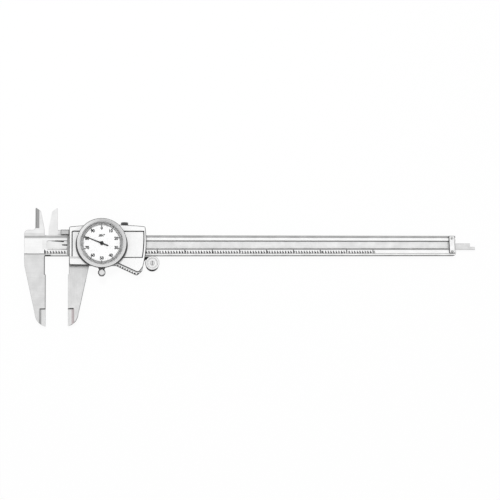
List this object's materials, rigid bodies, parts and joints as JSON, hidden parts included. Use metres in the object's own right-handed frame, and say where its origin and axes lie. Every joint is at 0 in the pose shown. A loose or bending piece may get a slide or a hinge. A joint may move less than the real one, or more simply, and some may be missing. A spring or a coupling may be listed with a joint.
{
  "type": "dial caliper",
  "caption": "Dial caliper with outside jaws, inside nibs, depth rod, thumb roller and a rack-driven pointer",
  "frame": {"origin": "middle of the fixed jaw's measuring face", "axes": "+X along the beam towards its free end, +Y towards the inside nibs, +Z out of the dial"},
  "size_m": [0.4239, 0.1076, 0.0157],
  "materials": {
    "beam_steel": "fine satin",
    "slide_steel": "fine satin",
    "rack_steel": "machined",
    "screw_steel": "turned",
    "cover_satin": "satin pale",
    "case_metal": "turned",
    "bezel_satin": "satin",
    "roller_satin": "satin",
    "brass": "turned",
    "black_metal": "black oxide",
    "knob_dark": "knurled",
    "pointer_black": "matt",
    "dial_white": "matt",
    "crystal_clear": "clear",
    "gasket_rubber": "matt"
  },
  "bodies": {
    "beam": {"beam": "beam_steel", "rack": "rack_steel", "rack_pins": "rack_steel", "end_plate": "beam_steel", "end_plate_screws": "screw_steel"},
    "slide": {"slide_body": "slide_steel", "slide_cover": "cover_satin", "cover_screws": "screw_steel", "back_plate": "slide_steel", "back_plate_screws": "screw_steel", "gib": "brass", "gib_screws": "screw_steel", "depth_rod": "beam_steel", "depth_rod_screws": "screw_steel", "roller_arm": "black_metal", "roller_arm_screws": "screw_steel", "roller_screw": "screw_steel", "dial_case": "case_metal", "case_screws": "screw_steel", "snap_ring": "rack_steel", "plate_pillars": "brass", "upper_plate": "brass", "upper_plate_screws": "screw_steel", "hairspring": "rack_steel", "bezel_clamp_shoe": "knob_dark"},
    "rack_arbor": {"rack_pinion": "rack_steel", "first_gear": "brass"},
    "idler_arbor": {"idler_pinion": "rack_steel", "idler_gear": "brass"},
    "centre_arbor": {"centre_pinion": "rack_steel", "pointer": "pointer_black"},
    "takeup_arbor": {"takeup_gear": "brass"},
    "bezel": {"bezel": "bezel_satin", "bezel_back_ring": "bezel_satin", "bezel_screws": "screw_steel", "dial_face": "dial_white", "crystal": "crystal_clear", "crystal_gasket": "gasket_rubber"},
    "bezel_clamp": {"bezel_clamp_screw": "knob_dark"},
    "lock": {"lock_screw": "knob_dark"},
    "roller": {"thumb_roller": "roller_satin"}
  },
  "joints": [
    {"name": "slide_travel", "type": "slide", "parent": "beam", "child": "slide", "axis": [1, 0, 0], "range_m": [-0.01984, 0.28496]},
    {"name": "rack_arbor_spin", "type": "hinge", "parent": "slide", "child": "rack_arbor", "pos_m": [0.04135, 0.04922, 0.006], "axis": [0, 0, 1], "continuous": true},
    {"name": "idler_arbor_spin", "type": "hinge", "parent": "slide", "child": "idler_arbor", "pos_m": [0.04564, 0.05282, 0.006], "axis": [0, 0, 1], "continuous": true},
    {"name": "centre_arbor_spin", "type": "hinge", "parent": "slide", "child": "centre_arbor", "pos_m": [0.05014, 0.05115, 0.006], "axis": [0, 0, 1], "continuous": true},
    {"name": "takeup_arbor_spin", "type": "hinge", "parent": "slide", "child": "takeup_arbor", "pos_m": [0.05648, 0.05204, 0.006], "axis": [0, 0, 1], "continuous": true},
    {"name": "roller_spin", "type": "hinge", "parent": "slide", "child": "roller", "pos_m": [0.09614, 0.03375, 0], "axis": [0, 0, 1], "continuous": true},
    {"name": "bezel_turn", "type": "hinge", "parent": "slide", "child": "bezel", "pos_m": [0.05014, 0.05115, 0.008], "axis": [0, 0, 1], "continuous": true},
    {"name": "bezel_clamp_turn", "type": "hinge", "parent": "slide", "child": "bezel_clamp", "pos_m": [0.05014, 0.02445, 0.008], "axis": [0, 0, 1], "range_deg": [-180, 90]},
    {"name": "lock_turn", "type": "hinge", "parent": "slide", "child": "lock", "pos_m": [0.07094, 0.068, 0], "axis": [0, 1, 0], "range_deg": [-180, 90]}
  ],
  "couplings": [
    {"joint": "rack_arbor_spin", "follows": "slide_travel", "rad_per_m": -494.74},
    {"joint": "idler_arbor_spin", "follows": "slide_travel", "rad_per_m": 1236.8},
    {"joint": "centre_arbor_spin", "follows": "slide_travel", "rad_per_m": -2473.7},
    {"joint": "takeup_arbor_spin", "follows": "slide_travel", "rad_per_m": 824.57},
    {"joint": "roller_spin", "follows": "slide_travel", "rad_per_m": 153.85}
  ]
}
